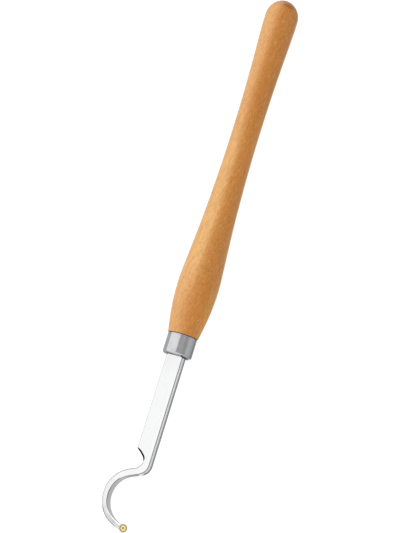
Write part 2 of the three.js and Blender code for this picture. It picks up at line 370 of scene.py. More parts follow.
def beech_material():
    m, g, shader, mm, where = material("beech")
    # layers of growth: r goes across them, t along them, x along the grain
    # the grain runs out at a slant of 10 degrees
    slant = g.scaled(mm, (1.0, 1.0, 1.0), rotation=(0.0, 0.0, math.radians(10)))
    turn = g.scaled(slant, (1.0, 1.0, 1.0), rotation=(math.radians(22), 0.0, 0.0), location=(0.0, 3.0, -7.95))
    x, t, r = g.split(turn)
    drift = g.noise(g.scaled(turn, (0.0065, 0.045, 0.045)), 1.0, 2.0, 0.5)
    wave = g.noise(g.scaled(turn, (0.028, 0.14, 0.14), location=(31.0, 7.0, 3.0)), 1.0, 2.0, 0.55)
    depth = g.math("MULTIPLY_ADD", drift, 17.0, r)
    depth = g.math("MULTIPLY_ADD", wave, 2.6, depth)
    phase = g.math("MULTIPLY", depth, 2 * math.pi / 3.4)
    ring = g.math("MULTIPLY_ADD", g.math("SINE", phase), 0.5, 0.5)
    late = g.math("POWER", ring, 3.0)

    # slow drift of tone, long streaks, and fine fibres
    tone = g.noise(g.scaled(turn, (0.012, 0.11, 0.11), location=(5.0, 11.0, 2.0)), 1.0, 3.0, 0.55)
    streak = g.noise(g.scaled(turn, (0.035, 0.55, 0.55), location=(-14.0, 2.0, 9.0)), 1.0, 3.0, 0.6, 0.3)
    fibre = g.noise(g.scaled(turn, (0.09, 3.4, 3.4)), 1.0, 3.0, 0.65)
    strand = g.noise(g.scaled(turn, (0.17, 0.85, 0.85), location=(3.0, -8.0, 6.0)), 1.0, 4.0, 0.62, 0.4)
    mottle = g.noise(g.scaled(turn, (0.40, 0.95, 0.95), location=(-2.0, 4.0, 1.0)), 1.0, 3.0, 0.6)

    # rays: thin ribbons that reach across the layers; cut across they show as short dark flecks
    bent = g.math("MULTIPLY_ADD", wave, 1.6, t)
    ribbons = g.join(g.math("MULTIPLY", x, 1 / 5.2), g.math("MULTIPLY", bent, 1 / 1.15), g.math("MULTIPLY", r, 1 / 9.0))
    near, own = g.voronoi(ribbons, 1.0, 1.0)
    chance, _, _ = g.split(own)
    size = g.step(chance, 0.25, 1.0, (0.0, 0.27), "LINEAR")
    fleck = g.step(g.math("SUBTRACT", near, size), -0.02, 0.09, (1.0, 0.0))
    fleck = g.math("MULTIPLY", fleck, g.step(chance, 0.25, 0.5, (0.0, 1.0)))
    small = g.join(g.math("MULTIPLY", x, 1 / 2.8), g.math("MULTIPLY", bent, 1 / 0.60), g.math("MULTIPLY", r, 1 / 4.5))
    near2, own2 = g.voronoi(small, 1.0, 1.0)
    chance2, _, _ = g.split(own2)
    fleck2 = g.step(near2, 0.12, 0.24, (1.0, 0.0))
    fleck2 = g.math("MULTIPLY", fleck2, g.step(chance2, 0.45, 0.75, (0.0, 0.8)))
    flecks = g.math("MAXIMUM", fleck, fleck2)

    # colour: the border between the lighter and the redder side, partly painted light and shade, wanders along the
    # handle
    px, py, pz = g.split(mm)
    round_axis = g.math("ARCTAN2", py, g.math("SUBTRACT", pz, 7.95))
    degrees = g.math("MULTIPLY", round_axis, 180 / math.pi)
    wander = g.noise(g.scaled(mm, (0.011, 0.035, 0.035), location=(4.0, 2.0, 7.0)), 1.0, 3.0, 0.55)
    place = g.math("MULTIPLY_ADD", wander, 34.0, g.math("SUBTRACT", degrees, 17.0))
    belly = g.math("MULTIPLY", g.step(px, -85.0, -150.0), g.step(px, -290.0, -240.0))
    place = g.math("SUBTRACT", place, g.math("MULTIPLY", belly, 11.0))
    colour = ramp_of(g, place, -180, 180, BLANK_WITH_PAINTED_LIGHT)
    # painted light and shade: the lit left side is palest along the belly, and the shaded right side is deepest along
    # the grip
    pale = g.math("MULTIPLY", belly, g.step(place, 4.0, -24.0, (0.0, 0.62)))
    colour = g.mix(pale, colour, rgba(0.715, 0.415, 0.135))
    deep = g.math("MULTIPLY", g.step(px, -255.0, -320.0), g.math("MULTIPLY", g.step(place, -16.0, 14.0), g.step(place, 120.0, 55.0)))
    colour = g.mix(g.math("MULTIPLY", deep, 0.85), colour, rgba(0.455, 0.165, 0.013))
    colour = g.mix(g.step(tone, 0.30, 0.72, (0.0, 0.16)), colour, rgba(0.44, 0.150, 0.016))
    colour = g.mix(g.step(streak, 0.48, 0.74, (0.0, 0.26)), colour, rgba(0.40, 0.135, 0.014))
    colour = g.mix(g.math("MULTIPLY", late, 0.10), colour, rgba(0.38, 0.125, 0.012))
    colour = g.mix(g.step(fibre, 0.40, 0.70, (0.0, 0.12)), colour, rgba(0.38, 0.130, 0.014))
    colour = g.mix(g.step(strand, 0.44, 0.70, (0.0, 0.40)), colour, rgba(0.40, 0.135, 0.014))
    colour = g.mix(g.step(strand, 0.50, 0.30, (0.0, 0.30)), colour, rgba(0.74, 0.38, 0.13))
    colour = g.mix(g.step(mottle, 0.47, 0.68, (0.0, 0.17)), colour, rgba(0.36, 0.120, 0.012))
    colour = g.mix(g.step(mottle, 0.47, 0.30, (0.0, 0.15)), colour, rgba(0.76, 0.40, 0.15))
    # rays show more on the red side
    seen = g.step(place, -30.0, 40.0, (0.34, 0.62))
    colour = g.mix(g.math("MULTIPLY", flecks, seen), colour, rgba(0.215, 0.062, 0.007))

    # end grain drinks more finish, so the round butt is darker towards its middle
    nx, _, _ = g.split(where.outputs["Normal"])
    end = g.step(g.math("ABSOLUTE", nx), 0.45, 0.98)
    patch = g.noise(g.scaled(mm, (0.16, 0.16, 0.16), location=(3.0, 1.0, 8.0)), 1.0, 3.0, 0.6)
    end_dark = g.math("MULTIPLY", end, g.step(patch, 0.36, 0.66, (0.06, 0.40)))
    colour = g.mix(end_dark, colour, rgba(0.36, 0.125, 0.016))
    # a dark smudge beside the top of the butt
    ex = g.math("MULTIPLY", g.math("ADD", px, 414.6), 1 / 2.6)
    ey = g.math("MULTIPLY", g.math("SUBTRACT", py, 6.4), 1 / 5.6)
    ez = g.math("MULTIPLY", g.math("SUBTRACT", pz, 19.6), 1 / 4.0)
    away = g.math("ADD", g.math("MULTIPLY", ex, ex), g.math("ADD", g.math("MULTIPLY", ey, ey), g.math("MULTIPLY", ez, ez)))
    away = g.math("ADD", away, g.math("MULTIPLY_ADD", patch, 2.4, -1.2))
    colour = g.mix(g.step(away, 1.9, 0.2, (0.0, 0.82)), colour, rgba(0.265, 0.070, 0.0005))

    # the tenon's end, inside the ferrule, is near black
    colour = g.mix(g.step(px, -51.0, -49.6, (0.0, 0.9)), colour, rgba(0.030, 0.020, 0.012))

    # painted shade: darker where the wood meets the ferrule
    sx, _, _ = g.split(mm)
    joint_shade = g.step(sx, -67.2, -66.2, (0.0, 0.5))
    colour = g.mix(joint_shade, colour, rgba(0.20, 0.075, 0.022))
    g.link(colour, shader.inputs["Base Color"])

    gloss = g.noise(g.scaled(mm, (0.03, 0.12, 0.12), location=(9.0, 4.0, 1.0)), 1.0, 3.0, 0.6)
    rough = g.math("ADD", g.step(gloss, 0.3, 0.7, (0.46, 0.60)), g.math("MULTIPLY", flecks, 0.08))
    g.link(rough, shader.inputs["Roughness"])
    shader.inputs["Specular IOR Level"].default_value = 0.1
    shader.inputs["Coat Weight"].default_value = 1.0
    shader.inputs["Coat IOR"].default_value = 1.45
    shader.inputs["Coat Roughness"].default_value = 0.34

    height = g.math("MULTIPLY_ADD", fibre, 0.5, g.math("MULTIPLY", flecks, -0.7))
    height = g.math("ADD", height, g.math("MULTIPLY", late, -0.25))
    waviness = g.noise(g.scaled(mm, (0.12, 0.06, 0.06)), 1.0, 2.0, 0.5)
    normal = g.bump(waviness, 0.00035, 0.25)
    normal = g.bump(height, 0.00003, 0.6, normal)
    g.link(normal, shader.inputs["Normal"])
    return m


def ferrule_material():
    m, g, shader, mm, where = material("ferrule_steel")
    x, y, z = g.split(mm)
    # turning marks run round the ferrule, so they only depend on the place along it
    marks = g.noise(g.join(g.math("MULTIPLY", x, 5.5), 0.3, 0.7), 1.0, 4.0, 0.7)
    cloud = g.noise(g.scaled(mm, (0.11, 0.11, 0.11)), 1.0, 3.0, 0.6)
    smear = g.noise(g.scaled(mm, (0.35, 0.9, 0.9), location=(2.0, 5.0, 1.0)), 1.0, 3.0, 0.65)
    colour = g.mix(g.step(cloud, 0.35, 0.7), rgba(0.455, 0.457, 0.462), rgba(0.405, 0.408, 0.418))
    colour = g.mix(g.step(marks, 0.45, 0.75, (0.0, 0.35)), colour, rgba(0.34, 0.34, 0.35))
    # painted shade: the edge beside the wood is darkened
    joint_shade = g.step(x, -64.9, -65.9, (0.0, 0.45))
    colour = g.mix(joint_shade, colour, rgba(0.20, 0.19, 0.18))
    # painted shade: the broached hole is painted black inside
    up = g.math("SUBTRACT", z, 7.95)
    out = g.math("MAXIMUM", g.math("ABSOLUTE", y), g.math("ABSOLUTE", up))
    from_axis = g.math("SQRT", g.math("ADD", g.math("MULTIPLY", y, y), g.math("MULTIPLY", up, up)))
    hole = g.math("MULTIPLY", g.step(x, -46.12, -46.02, (1.0, 0.0)), g.step(out, 9.9, 10.2, (1.0, 0.0)))
    hole = g.math("MULTIPLY", hole, g.step(from_axis, 11.9, 12.1, (1.0, 0.0)))
    # and painted shade: dark spots on the face beside the bar's right-hand corners
    shade_spots = []
    for by, bz, wy, wz in ((7.2, 9.2, 1.2, 2.6), (10.1, 3.6, 1.15, 3.6)):
        ay = g.math("MULTIPLY", g.math("SUBTRACT", y, by), 1 / wy)
        az = g.math("MULTIPLY", g.math("SUBTRACT", up, bz), 1 / wz)
        shade_spots.append(g.step(g.math("ADD", g.math("MULTIPLY", ay, ay), g.math("MULTIPLY", az, az)), 1.2, 0.7))
    shade_at_ferrule = g.math("MULTIPLY", g.math("MAXIMUM", shade_spots[0], shade_spots[1]), g.step(x, -46.9, -46.5, (0.0, 0.92)))
    hole = g.math("MAXIMUM", hole, shade_at_ferrule)
    colour = g.mix(hole, colour, rgba(0.012, 0.012, 0.012))
    g.link(colour, shader.inputs["Base Color"])
    shader.inputs["Metallic"].default_value = 1.0
    rough = g.math("ADD", g.step(smear, 0.3, 0.7, (0.13, 0.20)), g.step(marks, 0.4, 0.8, (0.0, 0.05)))
    rough = g.math("ADD", rough, g.math("MULTIPLY", shade_at_ferrule, 0.55))
    g.link(rough, shader.inputs["Roughness"])
    g.link(g.bump(marks, 0.000004, 0.5), shader.inputs["Normal"])
    return m


def bar_material():
    """Ground and polished bar, with rounded edges darkened as painted shade, and the milled ramp and seat at the hook's
    end.
    """
    m, g, shader, mm, where = material("bar_steel")
    x, y, z = g.split(mm)
    nx, ny, nz = g.split(where.outputs["Normal"])
    along = g.math("ADD", x, ORIGIN_X)

    # place round the hook's centre
    dx = g.math("SUBTRACT", along, 161.35)
    dy = g.math("SUBTRACT", y, 1.7)
    r = g.math("SQRT", g.math("ADD", g.math("MULTIPLY", dx, dx), g.math("MULTIPLY", dy, dy)))
    bearing = g.math("MULTIPLY", g.math("ARCTAN2", dy, dx), 180 / math.pi)
    ramp = g.math("MULTIPLY", g.step(bearing, -90, -54), g.step(along, 161.0, 166.0))
    tilt = g.math("ADD", g.math("MULTIPLY", nx, dx), g.math("MULTIPLY", ny, dy))
    tilt = g.math("ABSOLUTE", g.math("DIVIDE", tilt, r))
    facing = g.step(nz, 0.40, 0.70)
    milled = g.math("MULTIPLY", ramp, facing)
    # a smoother land along the ramp's inner edge, which also carries a painted highlight
    land_highlight = g.math("MULTIPLY", g.step(r, 24.6, 25.0, (1.0, 0.0)), g.step(bearing, -64, -48))
    land_highlight = g.math("MULTIPLY", g.math("MULTIPLY", land_highlight, milled), g.step(tilt, 0.10, 0.35, (1.0, 0.0)))

    # rounded edges lie between the flats and the walls
    edge = g.math("MULTIPLY", g.step(nz, 0.90, 0.998, (1.0, 0.0)), g.math("SUBTRACT", 1.0, ramp))
    edge = g.math("ADD", edge, g.math("MULTIPLY", g.step(tilt, 0.10, 0.40), ramp))
    edge = g.math("MULTIPLY", edge, g.step(nz, 0.02, 0.10))

    # painted highlight: a brighter line inside the right edge of the bar and the inner edge of the hook
    line = g.math("MULTIPLY", g.step(y, 4.9, 5.7), g.step(along, 126.0, 121.0))
    line2 = g.math("MULTIPLY", g.step(r, 26.3, 25.5, (0.0, 0.45)), g.step(along, 132.0, 138.0))
    line = g.math("MULTIPLY", g.math("ADD", line, line2), g.step(nz, 0.95, 0.99))

    marks = g.noise(g.scaled(mm, (0.05, 7.0, 7.0)), 1.0, 4.0, 0.7)
    cuts = g.noise(g.scaled(mm, (3.2, 0.9, 2.0)), 1.0, 4.0, 0.7)
    cloud = g.noise(g.scaled(mm, (0.045, 0.09, 0.09), location=(4.0, 8.0, 2.0)), 1.0, 3.0, 0.55)
    smear = g.noise(g.scaled(mm, (0.16, 0.5, 0.5), location=(1.0, 6.0, 3.0)), 1.0, 4.0, 0.65)
    spots, own = g.voronoi(g.scaled(mm, (0.55, 0.55, 0.55)), 1.0, 1.0)
    pick, _, _ = g.split(own)
    nick = g.math("MULTIPLY", g.step(spots, 0.04, 0.10, (1.0, 0.0)), g.step(pick, 0.80, 0.86))

    colour = g.mix(g.step(cloud, 0.35, 0.7), rgba(0.589, 0.592, 0.594), rgba(0.575, 0.579, 0.582))
    hook = g.math("MULTIPLY", g.step(bearing, -142, -112), g.step(along, 131.0, 137.0))
    colour = g.mix(hook, colour, rgba(0.542, 0.544, 0.547))
    colour = g.mix(line, colour, rgba(0.598, 0.600, 0.603))
    colour = g.mix(g.step(marks, 0.5, 0.85, (0.0, 0.10)), colour, rgba(0.42, 0.42, 0.425))
    # painted reflection: the top turns greyer and warmer towards the ferrule, which it mirrors
    colour = g.mix(g.step(along, 45.0, 21.0, (0.0, 0.30)), colour, rgba(0.50, 0.495, 0.490))
    colour = g.mix(milled, colour, rgba(0.545, 0.545, 0.550))
    colour = g.mix(g.math("MULTIPLY", milled, g.step(cuts, 0.45, 0.75, (0.0, 0.20))), colour, rgba(0.44, 0.44, 0.445))
    darker = g.math("MULTIPLY", g.step(r, 27.2, 26.4), g.step(bearing, -44.0, -36.0, (0.0, 0.75)))
    colour = g.mix(g.math("MULTIPLY", milled, darker), colour, rgba(0.455, 0.457, 0.462))
    # painted highlight: a bright strip on the land, brighter still near the cutter
    colour = g.mix(land_highlight, colour, rgba(0.72, 0.72, 0.72))
    colour = g.mix(g.math("MULTIPLY", land_highlight, g.step(bearing, -37.0, -30.0)), colour, rgba(0.86, 0.86, 0.86))
    # painted shade: the rounded edges are darkened; on the bar's left side up to the notch only half as much, so that
    # edge stays nearly as bright as its top
    left = g.step(g.math("ADD", nx, ny), -0.02, -0.12)
    lit_left_edge = g.math("MULTIPLY", left, g.step(along, 112.0, 108.0))
    colour = g.mix(g.math("MULTIPLY", edge, g.math("MULTIPLY_ADD", lit_left_edge, -0.5, 1.0)), colour, rgba(0.435, 0.437, 0.442))
    # painted shade: dark grey on the rounded edges outside the neck and beside the start of the ramp, less of it
    # towards the cutter
    neck = g.math("MULTIPLY", g.step(along, 121.0, 123.5), g.step(along, 160.0, 140.0, (0.25, 0.85)))
    grey = g.math("MULTIPLY", left, g.math("MULTIPLY", neck, g.math("SUBTRACT", 1.0, ramp)))
    outside = g.step(r, 26.6, 27.4)
    grey = g.math("ADD", grey, g.math("MULTIPLY", outside, g.math("MULTIPLY", g.step(bearing, -61.0, -54.0), g.step(bearing, -43.0, -49.0))))
    colour = g.mix(g.math("MULTIPLY", g.math("MULTIPLY", edge, grey), 0.52), colour, rgba(0.20, 0.20, 0.205))
    # painted shade: a dark inner edge along the ramp
    inside = g.math("MULTIPLY", g.step(r, 25.6, 24.8), g.math("MULTIPLY", g.step(bearing, -86.0, -78.0), g.step(bearing, -57.0, -63.0)))
    inside = g.math("MULTIPLY", g.math("MULTIPLY", edge, inside), g.math("SUBTRACT", 1.0, left))
    colour = g.mix(g.math("MULTIPLY", inside, 0.45), colour, rgba(0.22, 0.22, 0.225))
    # painted highlight: the outer rounded edge is lighter near the cutter
    lit_outer_edge = g.math("MULTIPLY", outside, g.step(bearing, -42.0, -35.0, (0.0, 0.45)))
    colour = g.mix(g.math("MULTIPLY", edge, lit_outer_edge), colour, rgba(0.66, 0.66, 0.66))
    colour = g.mix(g.math("MULTIPLY", nick, 0.30), colour, rgba(0.22, 0.21, 0.20))
    # painted shade: a dark spot on the corner beside the ferrule
    ax, ay = g.math("SUBTRACT", along, 19.8), g.math("SUBTRACT", y, 7.3)
    shade_at_ferrule = g.math("SQRT", g.math("ADD", g.math("MULTIPLY", ax, ax), g.math("MULTIPLY", ay, ay)))
    shade_at_ferrule = g.math("MULTIPLY", g.step(shade_at_ferrule, 1.5, 0.9, (0.0, 0.85)), g.step(z, 10.0, 14.0))
    # and painted shade, the mirrored dark face of the ferrule, in the corner where the top meets the ferrule, thicker
    # at the left end
    ferrule_corner_shade = g.math("MULTIPLY", g.step(along, 20.85, 20.35), g.step(smear, 0.25, 0.60, (0.55, 0.85)))
    ferrule_corner_shade = g.math("MULTIPLY", ferrule_corner_shade, g.step(y, -4.0, -0.5, (1.0, 0.58)))
    far_end = g.math("MULTIPLY", g.step(along, 21.3, 20.7), g.step(y, -6.2, -7.0))
    ferrule_corner_shade = g.math("MULTIPLY", g.math("MAXIMUM", ferrule_corner_shade, g.math("MULTIPLY", far_end, 0.8)), g.step(nz, 0.6, 0.9))
    shade_at_ferrule = g.math("MAXIMUM", shade_at_ferrule, ferrule_corner_shade)
    colour = g.mix(shade_at_ferrule, colour, rgba(0.014, 0.014, 0.014))
    g.link(colour, shader.inputs["Base Color"])
    shader.inputs["Metallic"].default_value = 1.0
    rough = g.step(smear, 0.3, 0.7, (0.10, 0.16))
    rough = g.math("ADD", rough, g.math("MULTIPLY", shade_at_ferrule, 0.5))
    rough = g.math("ADD", rough, g.math("MULTIPLY", milled, g.step(smear, 0.3, 0.7, (0.18, 0.23))))
    rough = g.math("SUBTRACT", rough, g.math("MULTIPLY", land_highlight, 0.14))
    g.link(rough, shader.inputs["Roughness"])
    height = g.math("ADD", g.math("MULTIPLY_ADD", nick, -0.8, marks), g.math("MULTIPLY", g.math("MULTIPLY", cuts, milled), 2.5))
    g.link(g.bump(height, 0.000003, 0.5), shader.inputs["Normal"])
    return m


def carbide_material():
    m, g, shader, mm, where = material("carbide")
    x, y, z = g.split(mm)
    dx, dy = g.math("SUBTRACT", x, 120.85), y
    r = g.math("SQRT", g.math("ADD", g.math("MULTIPLY", dx, dx), g.math("MULTIPLY", dy, dy)))
    grain = g.noise(g.scaled(mm, (5.0, 5.0, 5.0)), 1.0, 3.0, 0.7)
    rings = g.noise(g.join(g.math("MULTIPLY", r, 9.0), g.math("MULTIPLY", z, 3.0), 0.4), 1.0, 3.0, 0.7)
    colour = g.mix(g.step(grain, 0.35, 0.7), rgba(0.345, 0.315, 0.225), rgba(0.285, 0.260, 0.185))
    # the ground cutting edge is brighter than the sintered faces
    edge = g.step(r, 3.72, 3.95, (0.0, 0.5))
    colour = g.mix(edge, colour, rgba(0.42, 0.40, 0.35))
    g.link(colour, shader.inputs["Base Color"])
    shader.inputs["Metallic"].default_value = 1.0
    g.link(g.step(grain, 0.3, 0.7, (0.26, 0.36)), shader.inputs["Roughness"])
    g.link(g.bump(g.math("ADD", rings, g.math("MULTIPLY", grain, 0.4)), 0.000004, 0.5), shader.inputs["Normal"])
    return m


def gold_material():
    m, g, shader, mm, where = material("gold_screw")
    x, y, z = g.split(mm)
    dx = g.math("SUBTRACT", x, 120.85)
    r = g.math("SQRT", g.math("ADD", g.math("MULTIPLY", dx, dx), g.math("MULTIPLY", y, y)))
    rings = g.noise(g.join(g.math("MULTIPLY", r, 8.0), g.math("MULTIPLY", z, 2.0), 0.2), 1.0, 3.0, 0.7)
    cloud = g.noise(g.scaled(mm, (0.9, 0.9, 0.9)), 1.0, 3.0, 0.6)
    colour = g.mix(g.step(cloud, 0.35, 0.7), rgba(0.665, 0.565, 0.245), rgba(0.625, 0.52, 0.205))
    # painted shade: the recess is a deeper tone
    inner = g.math("MULTIPLY", g.step(r, 1.16, 1.30, (1.0, 0.0)), g.step(z, 7.55, 7.90, (1.0, 0.0)))
    colour = g.mix(inner, colour, rgba(0.43, 0.285, 0.022))
    g.link(colour, shader.inputs["Base Color"])
    shader.inputs["Metallic"].default_value = 1.0
    g.link(g.step(cloud, 0.3, 0.7, (0.20, 0.30)), shader.inputs["Roughness"])
    g.link(g.bump(rings, 0.000004, 0.5), shader.inputs["Normal"])
    return m


beech = beech_material()
ferrule_steel = ferrule_material()
bar_steel = bar_material()
carbide = carbide_material()
gold = gold_material()


# ---------------------------------------------------------------------------------------------------
# handle

PROFILE = [
    (-0.7, 14.95), (-3.85, 15.5), (-7.7, 16.18), (-11.6, 16.87), (-15.4, 17.5),
    (-20.0, 18.12), (-25.0, 18.78), (-31.0, 19.38), (-37.0, 19.78), (-43.5, 20.1), (-50.0, 20.23),
    (-56.5, 20.06), (-63.5, 19.68), (-71.5, 19.14), (-80.0, 18.58), (-90.0, 17.9), (-101.0, 17.12),
    (-113.0, 16.35), (-126.0, 15.7), (-141.0, 15.1), (-157.0, 14.53), (-174.0, 14.1), (-191.0, 13.8),
    (-208.0, 13.69), (-224.5, 13.73), (-241.0, 13.88), (-256.0, 14.14), (-271.0, 14.54),
    (-286.0, 15.03), (-300.0, 15.58), (-313.0, 16.1), (-326.0, 16.66), (-333.0, 16.83), (-340.3, 16.85),
]
HANDLE_END_X = -358.3
DOME_R, DOME_LENGTH = 16.85, 18.0
DOME_FOOT = HANDLE_END_X + DOME_LENGTH
TENON_R, BORE_R, TENON_END = 12.4, 6.3, 16.7


def handle_piece():
    knots = PROFILE[::-1]
    xs = np.arange(-340.0, -0.69, 1.0)
    rs = monotone([p[0] for p in knots], [p[1] for p in knots], xs)
    rs = blur(rs, 3.0, 1.0)
    rs = np.minimum(rs, 20.225)
    body = list(zip(xs, rs))[::-1]
    front = body[0]
    points = [(-80.6, 0.0), (-80.6, BORE_R)]
    points += [(x, BORE_R) for x in (-79.8, -40.0, 10.0)]
    points += [(TENON_END - 0.5, BORE_R), (TENON_END, BORE_R + 0.5), (TENON_END, TENON_R - 0.6)]
    points += [(TENON_END - 0.6, TENON_R), (8.0, TENON_R), (-0.1, TENON_R), (-0.3, TENON_R + 0.1)]
    # crisp but eased shoulder beside the ferrule
    points += [(-0.3, 13.4), (-0.3, 14.30)]
    points += corner((-0.3, 14.62), (-0.3, 13.0), front, 0.32, 4)
    points += body
    foot = DOME_FOOT
    for a in np.linspace(0, 90, 34)[1:]:
        points.append((foot - DOME_LENGTH * math.sin(math.radians(a)), 0.0 if a == 90 else DOME_R * math.cos(math.radians(a))))
    verts, faces = turned(points, 160, "x")
    obj = make_object("beech_handle", verts, faces, [beech], sharp=35)
    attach(obj, "tool")
    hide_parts("handle")
    return obj


# ---------------------------------------------------------------------------------------------------
# ferrule

FERRULE_R, FERRULE_LENGTH, FERRULE_INNER, FERRULE_FACE, FERRULE_EDGE_R = 14.3, 20.0, 12.7, 3.0, 2.0


def square_hole(half, relief_at, relief_r, angle):
    """Radius of the square hole, with a drilled relief in each corner, in a direction from its centre."""
    a = (angle + math.pi / 4) % (math.pi / 2) - math.pi / 4
    side = half / math.cos(a)
    d = relief_at * math.sqrt(2)
    best = side
    for k in (-math.pi / 4, math.pi / 4):
        off = d * math.sin(a - k)
        if abs(off) < relief_r:
            best = max(best, d * math.cos(a - k) + math.sqrt(relief_r**2 - off**2))
    # the right side has a shallow pocket
    if math.sin(angle) > 0.7:
        z = 8.7 * math.cos(angle) / math.sin(angle)
        bump = smoothstep(7.0, 5.6, z) * smoothstep(-3.0, -1.4, z)
        best = max(best, (half + 1.15 * bump) / math.sin(angle))
    return best


def ferrule_piece():
    n = 240
    angle = np.arange(n) * 2 * math.pi / n
    rings = []

    def circle(x, r):
        rings.append([(x, r * math.sin(a), r * math.cos(a)) for a in angle])

    def hole(x, grow=0.0):
        rings.append(
            [
                (x, q * math.sin(a), q * math.cos(a))
                for a in angle
                for q in [square_hole(8.02 + grow, 7.40, 1.35 + grow, a)]
            ]
        )

    # outside, from the wood to the front
    circle(0.0, 12.75)
    circle(0.0, 13.9)
    circle(0.08, 14.15)
    circle(0.3, FERRULE_R)
    for x in (0.6, 3.0, 6.0, 9.0, 12.0, 15.0, 17.6):
        circle(x, FERRULE_R)
    for a in np.linspace(0, 90, 13):
        circle(
            FERRULE_LENGTH - FERRULE_EDGE_R + FERRULE_EDGE_R * math.sin(math.radians(a)),
            FERRULE_R - FERRULE_EDGE_R + FERRULE_EDGE_R * math.cos(math.radians(a)),
        )
    circle(FERRULE_LENGTH, 12.1)
    # broached square hole with an eased mouth
    hole(FERRULE_LENGTH, 0.22)
    hole(FERRULE_LENGTH - 0.06, 0.08)
    hole(FERRULE_LENGTH - 0.22, 0.0)
    hole(18.5)
    hole(FERRULE_LENGTH - FERRULE_FACE)
    # inside
    circle(FERRULE_LENGTH - FERRULE_FACE, 12.2)
    circle(FERRULE_LENGTH - FERRULE_FACE - 0.15, FERRULE_INNER - 0.1)
    circle(FERRULE_LENGTH - FERRULE_FACE - 0.5, FERRULE_INNER)
    circle(8.0, FERRULE_INNER)
    circle(0.25, FERRULE_INNER)
    verts = np.array(rings).reshape(-1, 3)
    faces = grid_faces(len(rings), n)
    last = (len(rings) - 1) * n
    for j in range(n):
        k = (j + 1) % n
        faces.append((last + j, last + k, k, j))
    obj = make_object("steel_ferrule", verts, faces, [ferrule_steel], sharp=32)
    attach(obj, "tool")
    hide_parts("ferrule")
    return obj


# ---------------------------------------------------------------------------------------------------
# bar, neck and hook

EDGE = 1.1
HOOK_C = np.array([161.35, 1.7])
R_IN, R_OUT = 23.6, 28.4
OUTER = [
    (-180, 28.4), (-88, 28.38), (-80, 28.22), (-72, 28.08), (-64, 28.08), (-60, 28.18), (-56, 28.32), (-52, 28.44),
    (-48, 28.64), (-44, 28.84), (-40, 28.98), (-36, 28.95), (-32, 28.86), (-28, 28.75), (-20, 28.6), (-12, 28.5), (60, 28.5),
]
ELBOW_C, ELBOW_R = np.array([125.7, -3.45]), H + 3.45
NOTCH_CORNER = (113.3, -H)
NECK_LEFT = [
    NOTCH_CORNER, (115.35, -5.8), (116.6, -4.25), (118.0, -2.65), (119.5, -1.15), (121.0, 0.0),
    (122.6, 0.95), (124.3, 1.2), (125.8, 0.75), (127.2, 0.05), (128.5, -0.9), (130.2, -2.4), (131.4, -4.3),
    (132.4, -6.6), (133.4, -9.35), (135.6, -13.33), (138.65, -17.29), (142.99, -21.4), (148.17, -24.47),
    (153.8, -26.32), (160.7, -26.69),
]
RAMP = [
    (-72.0, H), (-68.0, H), (-66.0, 7.88), (-61.0, 7.35), (-56.0, 6.25), (-51.0, 4.8), (-46.0, 3.1),
    (-41.0, 1.25), (-36.0, -0.5), (-32.0, -1.6), (-28.5, -2.2), (-25.0, -2.43), (-20.0, -2.43),
]
SEAT_Z = -2.43
CUTTER = np.array([186.85, 0.0])
RIGHT_ROUND, RIGHT_DROP, LOW_RIGHT = 0.50, 3.0, 2.0
# width of the inner top edge's rounding by the direction from the hook's centre
INNER_EDGE = (
    (-180, 0.80), (-170, 0.55), (-160, 0.42), (-150, 0.20), (-138, 0.28), (-132, 0.68), (-124, 0.55), (-110, 0.36),
    (-90, 0.45), (-76, 0.46), (-68, 0.42), (-60, 0.28), (-50, 0.28),
)
# how far the inner wall leans in towards its top
INNER_LEAN = ((-112, 0.0), (-100, 0.15), (-90, 0.27), (-76, 0.42), (-68, 0.50), (-60, 0.28), (-52, 0.0))
PAD_R, PAD_RELIEF = 3.05, math.tan(math.radians(12))
TANG_R, TANG_END_X = 6.0, -80.0


def outward(poly, side):
    """Unit normals of a polyline that point away from the steel; side +1 for the left wall."""
    d = np.gradient(poly, axis=0)
    d /= np.linalg.norm(d, axis=1)[:, None]
    return np.stack([d[:, 1], -d[:, 0]], 1) * side


def outer_r(deg):
    return float(monotone([p[0] for p in OUTER], [p[1] for p in OUTER], [deg])[0])


